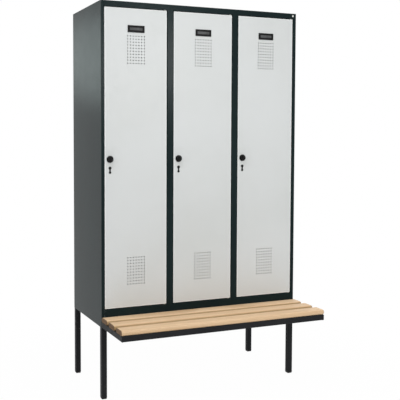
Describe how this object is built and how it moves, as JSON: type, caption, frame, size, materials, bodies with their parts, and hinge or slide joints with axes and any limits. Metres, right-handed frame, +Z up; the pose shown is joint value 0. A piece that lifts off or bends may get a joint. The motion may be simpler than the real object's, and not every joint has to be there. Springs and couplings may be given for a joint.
{
  "type": "locker unit with bench",
  "caption": "Steel changing-room locker with hinged, vented doors on a square-tube frame that carries a slatted wooden bench along the front.",
  "frame": {"origin": "on the floor, under the middle of the whole unit", "axes": "+Z up, the doors and the bench face -Y, +X to the right as seen from the front"},
  "size_m": [1.2, 0.805, 2.12],
  "materials": {
    "case_paint": "fine-textured anthracite powder coat",
    "door_paint": "satin light grey powder coat",
    "frame_paint": "satin black-grey powder coat",
    "beech": "clear-lacquered beech",
    "black_plastic": "moulded, fine grain",
    "knob_plastic": "moulded, satin",
    "label_plastic": "moulded, satin",
    "lock_black": "black lacquer",
    "nylon": "plain nylon",
    "zinc_steel": "bright zinc plate",
    "chromed_tube": "polished"
  },
  "bodies": {
    "case": {"left_side_panel": "case_paint", "right_side_panel": "case_paint", "top_panel": "case_paint", "bottom_panel": "case_paint", "back_panel": "case_paint", "mullion_1": "case_paint", "mullion_2": "case_paint", "partition_1": "case_paint", "partition_2": "case_paint", "hat_shelf_1": "case_paint", "hat_shelf_2": "case_paint", "hat_shelf_3": "case_paint", "base_left_rail": "frame_paint", "base_right_rail": "frame_paint", "base_front_rail": "frame_paint", "base_middle_rail": "frame_paint", "base_rear_rail": "frame_paint", "bench_centre_bearer": "frame_paint", "front_left_leg": "frame_paint", "front_right_leg": "frame_paint", "rear_left_leg": "frame_paint", "rear_right_leg": "frame_paint", "seat_slat_rear": "beech", "seat_slat_middle": "beech", "seat_slat_front": "beech", "foot_caps": "black_plastic", "hinge_bushes": "nylon", "rail_sockets": "black_plastic", "slat_screws": "zinc_steel", "case_screws": "zinc_steel", "coat_rail_1": "chromed_tube", "coat_rail_2": "chromed_tube", "coat_rail_3": "chromed_tube"},
    "door_1": {"door_1_panel": "door_paint", "door_1_stiffener": "door_paint", "door_1_hinge_pins": "zinc_steel", "door_1_label_holder": "label_plastic", "door_1_lock_housing": "lock_black"},
    "knob_1": {"door_1_knob": "knob_plastic", "door_1_latch_cam": "zinc_steel"},
    "lock_1": {"door_1_lock_plug": "lock_black"},
    "hook_1": {"coat_hook_1": "black_plastic"},
    "door_2": {"door_2_panel": "door_paint", "door_2_stiffener": "door_paint", "door_2_hinge_pins": "zinc_steel", "door_2_label_holder": "label_plastic", "door_2_lock_housing": "lock_black"},
    "knob_2": {"door_2_knob": "knob_plastic", "door_2_latch_cam": "zinc_steel"},
    "lock_2": {"door_2_lock_plug": "lock_black"},
    "hook_2": {"coat_hook_2": "black_plastic"},
    "door_3": {"door_3_panel": "door_paint", "door_3_stiffener": "door_paint", "door_3_hinge_pins": "zinc_steel", "door_3_label_holder": "label_plastic", "door_3_lock_housing": "lock_black"},
    "knob_3": {"door_3_knob": "knob_plastic", "door_3_latch_cam": "zinc_steel"},
    "lock_3": {"door_3_lock_plug": "lock_black"},
    "hook_3": {"coat_hook_3": "black_plastic"}
  },
  "joints": [
    {"name": "door_1_swing", "type": "hinge", "parent": "case", "child": "door_1", "pos_m": [-0.231, -0.0865, 1.287], "axis": [0, 0, 1], "range_deg": [0, 110]},
    {"name": "knob_1_turn", "type": "hinge", "parent": "door_1", "child": "knob_1", "pos_m": [-0.549, -0.0935, 1.287], "axis": [0, -1, 0], "range_deg": [0, 90]},
    {"name": "lock_1_turn", "type": "hinge", "parent": "door_1", "child": "lock_1", "pos_m": [-0.549, -0.0935, 1.24], "axis": [0, 1, 0], "range_deg": [0, 90]},
    {"name": "hook_1_slide", "type": "slide", "parent": "case", "child": "hook_1", "axis": [1, 0, 0], "range_m": [-0.18, 0.18]},
    {"name": "door_2_swing", "type": "hinge", "parent": "case", "child": "door_2", "pos_m": [0.169, -0.0865, 1.287], "axis": [0, 0, 1], "range_deg": [0, 110]},
    {"name": "knob_2_turn", "type": "hinge", "parent": "door_2", "child": "knob_2", "pos_m": [-0.149, -0.0935, 1.287], "axis": [0, -1, 0], "range_deg": [0, 90]},
    {"name": "lock_2_turn", "type": "hinge", "parent": "door_2", "child": "lock_2", "pos_m": [-0.149, -0.0935, 1.24], "axis": [0, 1, 0], "range_deg": [0, 90]},
    {"name": "hook_2_slide", "type": "slide", "parent": "case", "child": "hook_2", "axis": [1, 0, 0], "range_m": [-0.18, 0.18]},
    {"name": "door_3_swing", "type": "hinge", "parent": "case", "child": "door_3", "pos_m": [0.569, -0.0865, 1.287], "axis": [0, 0, 1], "range_deg": [0, 110]},
    {"name": "knob_3_turn", "type": "hinge", "parent": "door_3", "child": "knob_3", "pos_m": [0.251, -0.0935, 1.287], "axis": [0, -1, 0], "range_deg": [0, 90]},
    {"name": "lock_3_turn", "type": "hinge", "parent": "door_3", "child": "lock_3", "pos_m": [0.251, -0.0935, 1.24], "axis": [0, 1, 0], "range_deg": [0, 90]},
    {"name": "hook_3_slide", "type": "slide", "parent": "case", "child": "hook_3", "axis": [1, 0, 0], "range_m": [-0.18, 0.18]}
  ]
}
